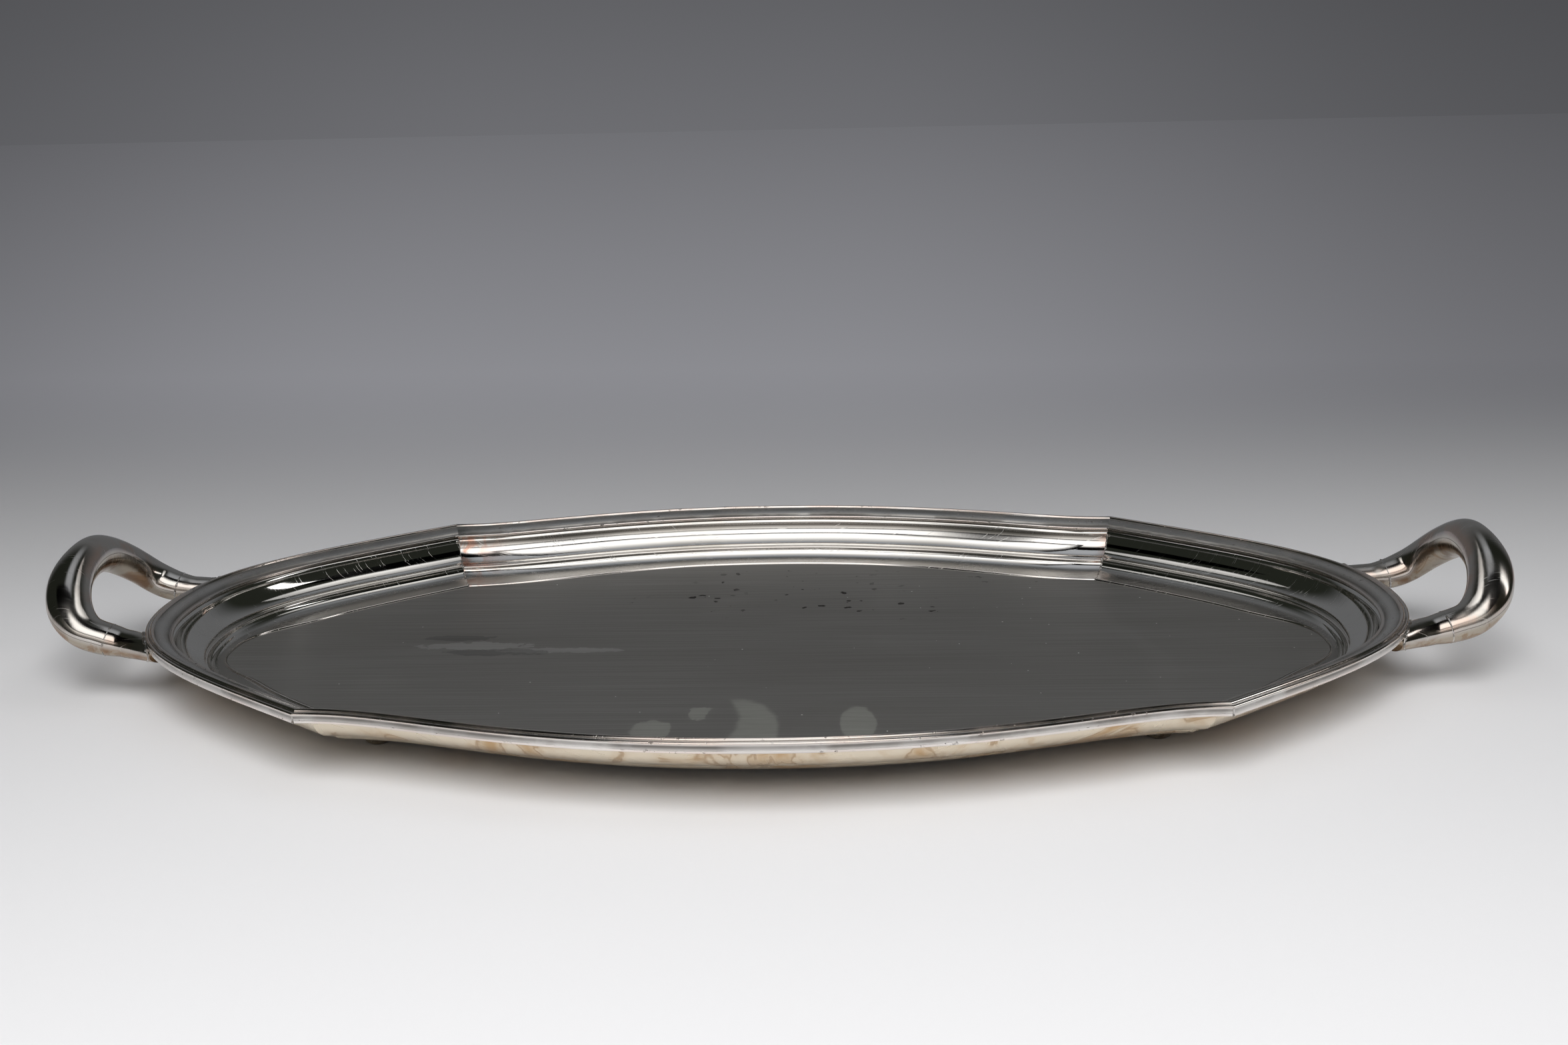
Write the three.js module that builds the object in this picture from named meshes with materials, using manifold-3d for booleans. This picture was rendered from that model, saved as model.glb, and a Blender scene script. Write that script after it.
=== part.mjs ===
// Oval serving tray in silver plate: a flat floor plate, four stepped wall panels, a reeded rim of four
// mitred mouldings, two loop handles that rise outwards from the ends, and four bun feet.
// Millimetres, +Z up. The origin is on the table plane below the tray's centre, and +X points at one handle.

import * as THREE from 'three';
import { mergeVertices } from 'three/addons/utils/BufferGeometryUtils.js';
import Module from 'manifold-3d';

const wasm = await Module();
wasm.setup();

// ---------------------------------------------------------------- driving dimensions

const halfLength = 302.5; // centre to the rim's outer edge at the ends
const halfDepth = 180; // centre to the rim's outer edge at the front and back
const cuspX = 190; // the rim's four corners
const cuspY = 146;

const footHeight = 8.1;
const sheet = 1.2; // thickness of the floor, the walls and the handle shells
const wellDepth = 24.7; // rim line down to the floor's upper face
const gap = 0.3; // clearance between neighbouring pieces
const facetGap = 0.6; // clearance where two faceted curves lie side by side

const rimWidth = 12.4; // outer edge to the inner bead
const skirtDrop = 4.2; // how far the rim's outer face hangs below the rim line
const stepInset = 25.3; // outer edge to the step half way down the wall
const stepDrop = 18;
const beadInset = 43.2; // outer edge to the bead at the foot of the wall
const floorInset = 45.2; // outer edge to the joint between wall and floor
const parallelInset = 27.5; // lines inside this one run closer to the rim at the middle of a side

const footX = 171;
const footY = 94.5;
const footRadius = 6.6;

const rimHeight = footHeight + sheet + wellDepth;

const longSteps = 18; // facets along a long side
const endSteps = 22; // facets along an end

// ---------------------------------------------------------------- materials

function plated(color, roughness) {
  return new THREE.MeshStandardMaterial({ color, roughness, metalness: 0.95 });
}

const brushedPlate = () => plated(0x8d8c8a, 0.32);
const polishedPlate = () => plated(0xa7a5a2, 0.14);
const rubbedPlate = () => plated(0xb7a79c, 0.2);
const handlePlate = () => plated(0x8f8d8b, 0.1);
const tarnishedPlate = () => plated(0xa08e76, 0.28);
const castPlate = () => plated(0x94918c, 0.16);
const dullFoot = () => plated(0x5c574f, 0.4);

// ---------------------------------------------------------------- plan outline

// One quarter of the outline is two curves, each from the middle of its side to the cusp.
// A long side swells in the middle and turns slightly hollow before the cusp. An end is a blunt nose.
const point = (x, y) => new THREE.Vector2(x, y);

const longCurve = new THREE.CubicBezierCurve(
  point(0, halfDepth),
  point(105, halfDepth),
  point(148, 144),
  point(cuspX, cuspY),
);

const endCurve = new THREE.CubicBezierCurve(
  point(halfLength, 0),
  point(halfLength, 62),
  point(262, 92),
  point(cuspX, cuspY),
);

// A side knows its curve, which way its inward normal turns from its tangent, and its facets.
const longSide = { curve: longCurve, turn: -1, steps: longSteps, isEnd: false };
const endSide = { curve: endCurve, turn: 1, steps: endSteps, isEnd: true };

function inwardNormal(side, t) {
  const tangent = side.curve.getTangent(t);
  return point(-tangent.y * side.turn, tangent.x * side.turn);
}

const cusp = point(cuspX, cuspY);
const endNormal = inwardNormal(endSide, 1);
const endTangent = endCurve.getTangent(1);

// The foot of the wall is a plainer oval than the rim: full inset at the corners, less between them.
function wellShare(side, place) {
  if (side.isEnd) return 0.25 + 0.75 * THREE.MathUtils.smoothstep(place.y, 8, 80);
  return 0.74 + 0.26 * THREE.MathUtils.smoothstep(place.x, 50, 165);
}

function insetPoint(side, t, inset) {
  const place = side.curve.getPoint(t);
  const inner = THREE.MathUtils.clamp(inset - parallelInset, 0, floorInset - parallelInset);
  return place.addScaledVector(inwardNormal(side, t), inset - inner * (1 - wellShare(side, place)));
}

// The last curve parameter, from the middle of a side towards its cusp, at which a test still holds.
function lastParameter(holds) {
  let low = 0.4;
  let high = 1;
  for (let pass = 0; pass < 40; pass += 1) {
    const middle = (low + high) / 2;
    if (holds(middle)) low = middle;
    else high = middle;
  }
  return low;
}

// Where an inset line meets the mitre, less a clearance. An end is straight near its cusp, so a long side's
// line stops as far inside that straight as its inset, and the end's own line meets it there.
function mitreParameter(side, inset, clearance) {
  const longEnd = (spare) => lastParameter((t) => (
    insetPoint(longSide, t, inset).sub(cusp).dot(endNormal) > inset + spare
  ));
  if (!side.isEnd) return longEnd(clearance * Math.abs(endNormal.x));
  const meeting = insetPoint(longSide, longEnd(0), inset);
  return lastParameter((t) => insetPoint(endSide, t, inset).sub(meeting).dot(endTangent) < -clearance);
}

// A point on a whole side: u runs from -1 at one mitre to 1 at the other, anticlockwise seen from above.
function sidePoint(side, u, inset, clearance) {
  const t = Math.abs(u) * mitreParameter(side, inset, clearance);
  const place = insetPoint(side, t, inset);
  if (side.isEnd) return point(place.x, place.y * Math.sign(u));
  return point(-place.x * Math.sign(u), place.y);
}

// ---------------------------------------------------------------- solids

function closedGeometry(positions, triangles) {
  const geometry = new THREE.BufferGeometry();
  geometry.setAttribute('position', new THREE.Float32BufferAttribute(positions, 3));
  geometry.setIndex(triangles);
  geometry.computeVertexNormals();
  return geometry;
}

// Joins rings of points into one closed body. Each ring is anticlockwise seen from the far end.
// The caps take the triangles of the flat section that the rings share.
function skinRings(rings, section) {
  const count = section.length;
  const positions = rings.flat().flatMap((p) => [p.x, p.y, p.z]);
  const triangles = [];
  for (let ring = 0; ring < rings.length - 1; ring += 1) {
    for (let index = 0; index < count; index += 1) {
      const a = ring * count + index;
      const b = ring * count + ((index + 1) % count);
      triangles.push(a, b, b + count, a, b + count, a + count);
    }
  }
  const last = (rings.length - 1) * count;
  for (const [a, b, c] of THREE.ShapeUtils.triangulateShape(section, [])) {
    triangles.push(c, b, a, last + a, last + b, last + c);
  }
  return closedGeometry(positions, triangles);
}

// Sweeps a section of (inset, height) points along one side, from mitre to mitre.
function sweepSide(side, section) {
  const rings = [];
  for (let step = 0; step <= side.steps; step += 1) {
    const u = (2 * step) / side.steps - 1;
    rings.push(section.map((spot) => {
      const place = sidePoint(side, u, spot.x, gap / 2);
      return new THREE.Vector3(place.x, place.y, spot.y);
    }));
  }
  return skinRings(rings, section);
}

function toManifold(geometry) {
  const bare = geometry.clone();
  bare.deleteAttribute('normal');
  bare.deleteAttribute('uv');
  const merged = mergeVertices(bare, 1e-4);
  return new wasm.Manifold(new wasm.Mesh({
    numProp: 3,
    vertProperties: new Float32Array(merged.attributes.position.array),
    triVerts: new Uint32Array(merged.index.array),
  }));
}

function fromManifold(solid) {
  const mesh = solid.getMesh();
  return closedGeometry(Array.from(mesh.vertProperties), Array.from(mesh.triVerts));
}

// ---------------------------------------------------------------- sections of the rim and the wall

// Points on an elliptical stretch, with angles in degrees and heights taken from the rim line.
function stretch(centreX, centreZ, radiusX, radiusZ, from, to, steps) {
  const points = [];
  for (let step = 0; step <= steps; step += 1) {
    const angle = THREE.MathUtils.degToRad(from + ((to - from) * step) / steps);
    points.push(point(
      centreX + radiusX * Math.cos(angle),
      rimHeight + centreZ + radiusZ * Math.sin(angle),
    ));
  }
  return points;
}

const corner = (inset, height) => point(inset, rimHeight + height);

// The rim is a moulding with a skirt, an outer reed, a taller crown, a dished face and an inner bead.
function rimSection() {
  const reedRadius = 0.9;
  const crownRadius = 1.1;
  const beadRadius = 0.8;
  const crownInset = 3.1;
  return [
    corner(0, -skirtDrop),
    corner(sheet, -skirtDrop),
    corner(sheet, -1.6),
    corner(4.4, -1.3),
    corner(11.6, -4.8),
    ...stretch(rimWidth - beadRadius, -3.8, beadRadius, beadRadius, -50, 130, 4),
    corner(10.3, -2.9),
    corner(9.3, -1.9),
    corner(5, -0.1),
    ...stretch(crownInset, 0, crownRadius, crownRadius, 20, 160, 3),
    corner(1.85, -0.2),
    ...stretch(reedRadius, -0.7, reedRadius, reedRadius, 55, 180, 3),
  ];
}

// The wall is a sheet: a flange under the rim, an upper cove, a step, a lower cove, a bead and a foot flange.
// Each cove is a quarter of an ellipse whose centre is above the step or the bead that it runs down to.
function wallSection() {
  const coveTop = -5.6;
  const coveRun = stepInset - rimWidth - 0.5;
  const coveDrop = stepDrop + coveTop;
  const lowerTop = -19.2;
  const lowerCentre = beadInset - 1.2;
  const lowerRun = lowerCentre - stepInset - 1.1;
  const lowerDrop = wellDepth + lowerTop - 0.4;
  const beadRadius = 0.9;
  const under = [
    corner(7, -4.1),
    corner(11.3, -6.3),
    ...stretch(stepInset, coveTop, coveRun + sheet, coveDrop + sheet, 190, 265, 4),
    ...stretch(lowerCentre, lowerTop, lowerRun + sheet, lowerDrop + sheet, 190, 265, 4),
    corner(floorInset, -wellDepth - sheet),
  ];
  const face = [
    corner(7, -2.9),
    corner(12.2, -5.45),
    ...stretch(stepInset, coveTop, coveRun, coveDrop, 185, 270, 5),
    corner(stepInset + 0.9, -stepDrop - 0.4),
    ...stretch(lowerCentre, lowerTop, lowerRun, lowerDrop, 180, 268, 5),
    ...stretch(beadInset, -wellDepth + 0.1, beadRadius, beadRadius, 170, 20, 3),
    corner(floorInset, -wellDepth),
  ];
  return [...under, ...face.reverse()];
}

// ---------------------------------------------------------------- floor

function floorGeometry() {
  const quarterTurns = [endSide, longSide, endSide, longSide];
  const outline = [];
  quarterTurns.forEach((side, index) => {
    const half = index >= 2 ? -1 : 1;
    for (let step = 0; step < side.steps; step += 1) {
      const place = sidePoint(side, (2 * step) / side.steps - 1, floorInset + facetGap, 0);
      outline.push(place.multiplyScalar(half));
    }
  });
  const plate = new THREE.ExtrudeGeometry(new THREE.Shape(outline), { depth: sheet, bevelEnabled: false });
  return plate.translate(0, 0, footHeight);
}

// ---------------------------------------------------------------- handles

// Half of one handle's centre line, from inside the rim to the middle of the grip, and the half width
// and half height of its oval section at the same places.
const handleStations = [
  { at: [284, 51.5, 27.2], size: [6.3, 4.8] },
  { at: [298, 44, 27.9], size: [7.5, 6.2] },
  { at: [312, 41.5, 30.1], size: [8.7, 7.4] },
  { at: [323, 42, 34.6], size: [9.6, 8] },
  { at: [331.5, 37, 43.3], size: [10.1, 8.4] },
  { at: [336.8, 21.5, 53.9], size: [10, 8.9] },
  { at: [336.3, 0, 59.5], size: [8.6, 9.7] },
];
const gripRadius = 10; // about, for laying out the triangles of a cap
const armEnd = 0.165; // how far along the whole handle a cast arm reaches
const seamClearance = 0.0015; // the same measure for half of the gap between arm and grip
const armSteps = 7;
const gripSteps = 22;
const ovalSteps = 12;

function mirroredStations(key, mirror) {
  const first = handleStations.map((station) => station[key]);
  const second = first.slice(0, -1).reverse().map(mirror);
  return [...first, ...second];
}

const handleLine = new THREE.CatmullRomCurve3(
  mirroredStations('at', ([x, y, z]) => [x, -y, z]).map((place) => new THREE.Vector3(...place)),
);
const handleSize = new THREE.SplineCurve(
  mirroredStations('size', (size) => size).map((size) => point(...size)),
);

// One ring of an oval section of the handle. Section points are fractions of the half width and half height,
// plus a wall thickness taken inwards and a lift along the section's own upright.
function handleRing(t, section) {
  const centre = handleLine.getPoint(t);
  const tangent = handleLine.getTangent(t);
  const size = handleSize.getPoint(t);
  const across = new THREE.Vector3(0, 0, 1).cross(tangent).normalize();
  const upright = tangent.clone().cross(across);
  return section.map((spot) => centre.clone()
    .addScaledVector(across, spot.cos * (size.x - spot.inside))
    .addScaledVector(upright, spot.sin * (size.y - spot.inside) + spot.lift));
}

function sweepHandle(from, to, steps, section) {
  const rings = [];
  for (let step = 0; step <= steps; step += 1) {
    rings.push(handleRing(from + ((to - from) * step) / steps, section));
  }
  const round = section.map((spot) => point(
    spot.cos * (gripRadius - spot.inside),
    spot.sin * (gripRadius - spot.inside) + spot.lift,
  ));
  return skinRings(rings, round);
}

function arcSpots(from, to, steps, inside, lift) {
  const spots = [];
  for (let step = 0; step <= steps; step += 1) {
    const angle = THREE.MathUtils.degToRad(from + ((to - from) * step) / steps);
    spots.push({ cos: Math.cos(angle), sin: Math.sin(angle), inside, lift });
  }
  return spots;
}

// A hollow half shell of the grip. The upper and lower shells meet along the sides.
function gripGeometry(isUpper) {
  const start = isUpper ? 0 : 180;
  const lift = isUpper ? gap / 2 : -gap / 2;
  const section = [
    ...arcSpots(start, start + 180, 7, 0, lift),
    ...arcSpots(start + 180, start, 7, sheet, lift),
  ];
  return sweepHandle(armEnd + seamClearance, 1 - armEnd - seamClearance, gripSteps, section);
}

// The tray's whole outline, a clearance larger, as a block that trims the arms where they meet the rim.
function outlineBlock() {
  const outline = [];
  const facets = 40;
  [endSide, longSide, endSide, longSide].forEach((side, index) => {
    const half = index >= 2 ? -1 : 1;
    for (let step = 0; step < facets; step += 1) {
      const u = (2 * step) / facets - 1;
      const place = insetPoint(side, Math.abs(u), -gap);
      if (side.isEnd) place.y *= Math.sign(u);
      else place.x *= -Math.sign(u);
      outline.push(place.multiplyScalar(half));
    }
  });
  const block = new THREE.ExtrudeGeometry(new THREE.Shape(outline), { depth: 60, bevelEnabled: false });
  return toManifold(block);
}

const trimBlock = outlineBlock();

// A cast arm, from the rim's outer face to its joint with the grip.
function armGeometry(isFar) {
  const section = arcSpots(0, 360 - 360 / ovalSteps, ovalSteps - 1, 0, 0);
  const reach = armEnd - seamClearance;
  const arm = isFar
    ? sweepHandle(0, reach, armSteps, section)
    : sweepHandle(1 - reach, 1, armSteps, section);
  return fromManifold(toManifold(arm).subtract(trimBlock));
}

// ---------------------------------------------------------------- feet

function footGeometry() {
  const height = footHeight - gap;
  const profile = [
    point(0, 0),
    point(footRadius * 0.62, 0),
    point(footRadius * 0.9, height * 0.16),
    point(footRadius, height * 0.42),
    point(footRadius * 0.9, height * 0.7),
    point(footRadius * 0.7, height * 0.86),
    point(footRadius * 0.74, height),
    point(0, height),
  ];
  const foot = new THREE.LatheGeometry(profile, 16);
  return foot.rotateX(Math.PI / 2);
}

// ---------------------------------------------------------------- assembly

const tray = new THREE.Group();

function add(parent, name, geometry, material) {
  const mesh = new THREE.Mesh(geometry, material);
  mesh.name = name;
  parent.add(mesh);
  return mesh;
}

add(tray, 'floor_plate', floorGeometry(), brushedPlate());

// The walls and rim mouldings are made for the back and the right, and half a turn gives front and left.
const halves = [
  { turn: 0, longName: 'back', endName: 'right' },
  { turn: Math.PI, longName: 'front', endName: 'left' },
];
for (const { turn, longName, endName } of halves) {
  const half = new THREE.Group();
  half.rotation.z = turn;
  tray.add(half);

  add(half, `wall_${longName}`, sweepSide(longSide, wallSection()), polishedPlate());
  add(half, `wall_${endName}`, sweepSide(endSide, wallSection()), polishedPlate());
  add(half, `rim_${longName}`, sweepSide(longSide, rimSection()), rubbedPlate());
  add(half, `rim_${endName}`, sweepSide(endSide, rimSection()), rubbedPlate());

  const farName = turn === 0 ? 'back' : 'front';
  const nearName = turn === 0 ? 'front' : 'back';
  add(half, `handle_${endName}_arm_${farName}`, armGeometry(true), castPlate());
  add(half, `handle_${endName}_arm_${nearName}`, armGeometry(false), castPlate());
  add(half, `handle_${endName}_grip_upper`, gripGeometry(true), handlePlate());
  add(half, `handle_${endName}_grip_lower`, gripGeometry(false), tarnishedPlate());
}

for (const [endName, signX] of [['left', -1], ['right', 1]]) {
  for (const [sideName, signY] of [['front', -1], ['back', 1]]) {
    const foot = add(tray, `foot_${sideName}_${endName}`, footGeometry(), dullFoot());
    foot.position.set(signX * footX, signY * footY, 0);
  }
}

export default tray;
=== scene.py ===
"""Looks of the oval serving tray: fine meshes and silver-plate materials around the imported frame."""

import math

import bpy
import numpy as np
from mathutils import Matrix, Vector, noise
from mathutils.geometry import tessellate_polygon


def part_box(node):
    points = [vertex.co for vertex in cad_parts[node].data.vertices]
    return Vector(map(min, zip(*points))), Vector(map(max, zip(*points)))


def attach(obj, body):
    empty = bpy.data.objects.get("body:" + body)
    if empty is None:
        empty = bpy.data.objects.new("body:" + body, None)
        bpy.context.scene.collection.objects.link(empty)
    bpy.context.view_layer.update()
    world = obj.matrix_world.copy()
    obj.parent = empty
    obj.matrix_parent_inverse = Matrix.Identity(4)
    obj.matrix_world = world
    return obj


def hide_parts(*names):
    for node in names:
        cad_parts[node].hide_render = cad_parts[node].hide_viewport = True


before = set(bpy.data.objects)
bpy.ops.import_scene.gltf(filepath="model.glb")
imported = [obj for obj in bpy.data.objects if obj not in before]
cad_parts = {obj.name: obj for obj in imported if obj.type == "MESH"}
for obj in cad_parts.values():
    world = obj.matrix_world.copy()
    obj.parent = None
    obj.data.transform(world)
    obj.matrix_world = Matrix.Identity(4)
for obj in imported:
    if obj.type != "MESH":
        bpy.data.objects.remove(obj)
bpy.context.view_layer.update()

MM = 0.001

# -------------------- sizes in millimetres, from the frame

RIM_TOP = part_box("rim_back")[1].z / MM
HALF_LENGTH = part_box("rim_right")[1].x / MM
HALF_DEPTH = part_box("rim_back")[1].y / MM
FLOOR_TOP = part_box("floor_plate")[1].z / MM
FLOOR_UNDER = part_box("floor_plate")[0].z / MM

CUSP_X = 190  # the rim's four corners
CUSP_Y = 146
SHEET = FLOOR_TOP - FLOOR_UNDER
CROWN_RADIUS = 1.1
RIM_LINE = RIM_TOP - CROWN_RADIUS
WELL_DEPTH = RIM_LINE - FLOOR_TOP
RIM_WIDTH = 12.4
SKIRT_DROP = 4.2  # how far the rim's outer face hangs below the rim line
STEP_INSET = 25.3  # the step half way down the wall
STEP_DROP = 18
BEAD_INSET = 43.2  # the bead at the foot of the wall
FLOOR_INSET = 45.2  # the joint between wall and floor
PARALLEL_INSET = 27.5  # lines inside this one run closer to the rim between the corners


# -------------------- plan outline


def unit(vector):
    """The vector at length 1."""
    return vector / np.linalg.norm(vector)


def bezier(points, t):
    """The point and the tangent of a cubic curve at t."""
    a, b, c, d = points
    s = 1 - t
    place = s**3 * a + 3 * s * s * t * b + 3 * s * t * t * c + t**3 * d
    slope = s * s * (b - a) + 2 * s * t * (c - b) + t * t * (d - c)
    return place, unit(slope)


def curve(*points):
    """Control points as arrays."""
    return [np.array(p, float) for p in points]


LONG = {
    "points": curve((0, HALF_DEPTH), (105, HALF_DEPTH), (148, 144), (CUSP_X, CUSP_Y)),
    "turn": -1,
    "is_end": False,
}
END = {
    "points": curve((HALF_LENGTH, 0), (HALF_LENGTH, 62), (262, 92), (CUSP_X, CUSP_Y)),
    "turn": 1,
    "is_end": True,
}
CUSP = np.array((CUSP_X, CUSP_Y), float)


def smoothstep(value, low, high):
    """0 below low, 1 above high, and a smooth rise between them."""
    t = min(max((value - low) / (high - low), 0.0), 1.0)
    return t * t * (3 - 2 * t)


def well_share(side, place):
    """The foot of the wall is a plainer oval than the rim: full inset at the corners, less between them."""
    if side["is_end"]:
        return 0.25 + 0.75 * smoothstep(place[1], 8, 80)
    return 0.74 + 0.26 * smoothstep(place[0], 50, 165)


def inset_point(side, t, inset):
    """The point at a distance inside the rim's outer edge, at curve parameter t."""
    place, tangent = bezier(side["points"], t)
    inner = min(max(inset - PARALLEL_INSET, 0.0), FLOOR_INSET - PARALLEL_INSET)
    reach = inset - inner * (1 - well_share(side, place))
    return place + reach * side["turn"] * np.array((-tangent[1], tangent[0]))


END_TANGENT = bezier(END["points"], 1)[1]
END_NORMAL = np.array((-END_TANGENT[1], END_TANGENT[0]))


def last_parameter(holds):
    """The last curve parameter, from the middle of a side towards its cusp, at which a test holds."""
    low, high = 0.4, 1.0
    for _ in range(30):
        middle = (low + high) / 2
        if holds(middle):
            low = middle
        else:
            high = middle
    return low


def mitre_parameter(side, inset):
    """Where an inset line meets the mitre at the cusp."""
    on_long = last_parameter(lambda t: (inset_point(LONG, t, inset) - CUSP) @ END_NORMAL > inset)
    if not side["is_end"]:
        return on_long
    meeting = inset_point(LONG, on_long, inset)
    return last_parameter(lambda t: (inset_point(END, t, inset) - meeting) @ END_TANGENT < 0)


def side_line(side, inset, steps):
    """Points of one inset line of a whole side, anticlockwise from mitre to mitre."""
    end = mitre_parameter(side, inset)
    line = []
    for step in range(steps + 1):
        u = 2 * step / steps - 1
        x, y = inset_point(side, abs(u) * end, inset)
        sign = math.copysign(1, u)
        line.append((x, y * sign) if side["is_end"] else (-x * sign, y))
    return line


# -------------------- meshes


SHARP_ANGLE = 40  # degrees between faces from which an edge is shaded as sharp
SWEPT_SHARP_ANGLE = 72  # the same on walls and rims, whose beads turn tightly
SOLDER_SHARP_ANGLE = 60


def new_object(name, data):
    """An object in the scene, made from its data."""
    made = bpy.data.objects.new(name, data)
    bpy.context.scene.collection.objects.link(made)
    return made


def add_mask(mesh, name, values):
    """A number for each vertex, which the materials read."""
    layer = mesh.attributes.new(name, "FLOAT", "POINT")
    layer.data.foreach_set("value", np.array(values, np.float32))


def make_piece(name, vertices, faces, masks, material, node=None, crease=SHARP_ANGLE):
    """A mesh piece in millimetres that rides on the tray and may stand for a CAD node."""
    mesh = bpy.data.meshes.new(name)
    mesh.from_pydata([Vector(v) * MM for v in vertices], [], faces)
    mesh.validate()
    for mask, values in masks.items():
        add_mask(mesh, mask, values)
    mesh.shade_smooth()
    mesh.set_sharp_from_angle(angle=math.radians(crease))
    mesh.materials.append(material)
    piece = new_object(name, mesh)
    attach(piece, "root")
    if node:
        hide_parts(node)
    return piece


def rounded(section):
    """Cuts the corners of a closed section of (inset, height, masks...) rows."""
    rows = np.array(section, float)
    after = np.roll(rows, -1, axis=0)
    near = 0.75 * rows + 0.25 * after
    far = 0.25 * rows + 0.75 * after
    return np.stack([near, far], axis=1).reshape(-1, rows.shape[1])


def cap(polygon):
    """Triangles that fill a flat closed section."""
    return tessellate_polygon([[Vector((x, y, 0)) for x, y in polygon]])


def skin(rings, section, closed=False):
    """Faces that join rings shaped like a section, with caps at both ends unless they close up."""
    count = len(section)
    faces = []
    spans = rings if closed else rings - 1
    for ring in range(spans):
        here = ring * count
        there = ((ring + 1) % rings) * count
        for index in range(count):
            after = (index + 1) % count
            faces.append((here + index, here + after, there + after, there + index))
    if not closed:
        last = (rings - 1) * count
        for a, b, c in cap(section):
            faces.append((c, b, a))
            faces.append((last + a, last + b, last + c))
    return faces


WAVE_LENGTH = 38
WALL_WAVE = 0.10
RIM_WAVE = 0.05


def ripple(x, y, z, size, height):
    """A gentle unevenness of hand-finished sheet: waves of about a size, up to a height."""
    return height * noise.noise(Vector((x / size, y / size, z / size)))


def sweep_side(name, side, section, mask_names, half_turn, steps, wave, material):
    """Sweeps a section along one side. Extra columns of the section become masks."""
    lines = [side_line(side, row[0], steps) for row in section]
    sign = -1 if half_turn else 1
    rings = []
    for step in range(steps + 1):
        for line, (_, height, *_) in zip(lines, section):
            x, y = line[step]
            lift = ripple(x * sign, y * sign, height * 2, WAVE_LENGTH, wave)
            rings.append((x * sign, y * sign, RIM_LINE + height + lift))
    faces = skin(steps + 1, [(inset, height) for inset, height, *_ in section])
    masks = {
        mask: np.tile(section[:, 2 + column], steps + 1)
        for column, mask in enumerate(mask_names)
    }
    return make_piece(name, rings, faces, masks, material, name, SWEPT_SHARP_ANGLE)


def arc(centre, height, radius_x, radius_z, start, stop, steps, *masks):
    """Section rows on an elliptical stretch, with angles in degrees."""
    rows = []
    for angle in np.radians(np.linspace(start, stop, steps + 1)):
        rows.append((centre + radius_x * math.cos(angle), height + radius_z * math.sin(angle), *masks))
    return rows


def rim_section():
    """Rows of inset, height, crest and groove: where polish wears through and where tarnish gathers."""
    reed, bead = 0.9, 0.8
    rows = [
        (0.15, -SKIRT_DROP - 0.1, 0.8, 0),
        (0.7, -SKIRT_DROP - 0.2, 0.3, 0.3),
        (SHEET, -SKIRT_DROP, 0, 1),
        (SHEET, -1.6, 0, 1),
        (4.4, -1.3, 0, 1),
        (11.6, -4.8, 0, 1),
        *arc(RIM_WIDTH - bead, -3.8, bead, bead, -50, 130, 6, 0.8, 0),
        (10.6, -3.0, 0, 1),
        (9.6, -2.0, 0.1, 0.5),
        (7.4, -1.1, 0.2, 0),
        (5, -0.35, 0.1, 0.5),
        (4.35, -0.15, 0, 1),
        *arc(3.1, 0, CROWN_RADIUS, CROWN_RADIUS, 15, 165, 6, 1, 0),
        (1.9, -0.4, 0, 1),
        *arc(reed, -0.7, reed, reed, 60, 175, 5, 0.9, 0),
        (0.1, -1.4, 0, 0.9),
        (0.35, -2.2, 0.1, 0.75),
        (0.3, -3.0, 0.2, 0.35),
        (0.15, -3.6, 0.7, 0.0),
    ]
    return rounded(rows)


def wall_section():
    """Rows of inset, height, under, bead and corner: underside, rubbed crests and the wall's dull foot."""
    cove_top, cove_run = -5.6, STEP_INSET - RIM_WIDTH - 0.5
    cove_drop = STEP_DROP + cove_top
    low_top, low_centre = -19.2, BEAD_INSET - 1.2
    low_run = low_centre - STEP_INSET - 1.1
    low_drop = WELL_DEPTH + low_top - 0.4
    under = [
        (7, -4.1, 1, 0, 0),
        (11.3, -6.3, 1, 0, 0),
        *arc(STEP_INSET, cove_top, cove_run + SHEET, cove_drop + SHEET, 188, 266, 12, 1, 0, 0),
        *arc(low_centre, low_top, low_run + SHEET, low_drop + SHEET, 188, 266, 12, 1, 0, 0),
        (FLOOR_INSET, -WELL_DEPTH - SHEET, 1, 0, 0),
    ]
    face = [
        (7, -2.9, 0, 0, 0),
        (12.2, -5.3, 0, 0, 0),
        *arc(STEP_INSET, cove_top, cove_run, cove_drop, 184, 268, 20, 0, 0, 0),
        (STEP_INSET + 0.35, -STEP_DROP + 0.12, 0, 1, 0),
        (STEP_INSET + 0.85, -STEP_DROP - 0.1, 0, 1, 0),
        (STEP_INSET + 1.05, -STEP_DROP - 0.8, 0, 0.2, 0),
        *arc(low_centre, low_top, low_run, low_drop, 184, 225, 10, 0, 0, 0),
        *arc(low_centre, low_top, low_run, low_drop, 235, 266, 8, 0, 0, 0.7),
        *arc(BEAD_INSET, -WELL_DEPTH + 0.1, 0.9, 0.9, 175, 15, 7, 0, 1, 0),
        (BEAD_INSET + 1.2, -WELL_DEPTH, 0, 0, 1),
        (FLOOR_INSET, -WELL_DEPTH, 0, 0, 1),
    ]
    return rounded(under + face[::-1])


# -------------------- node materials


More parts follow.
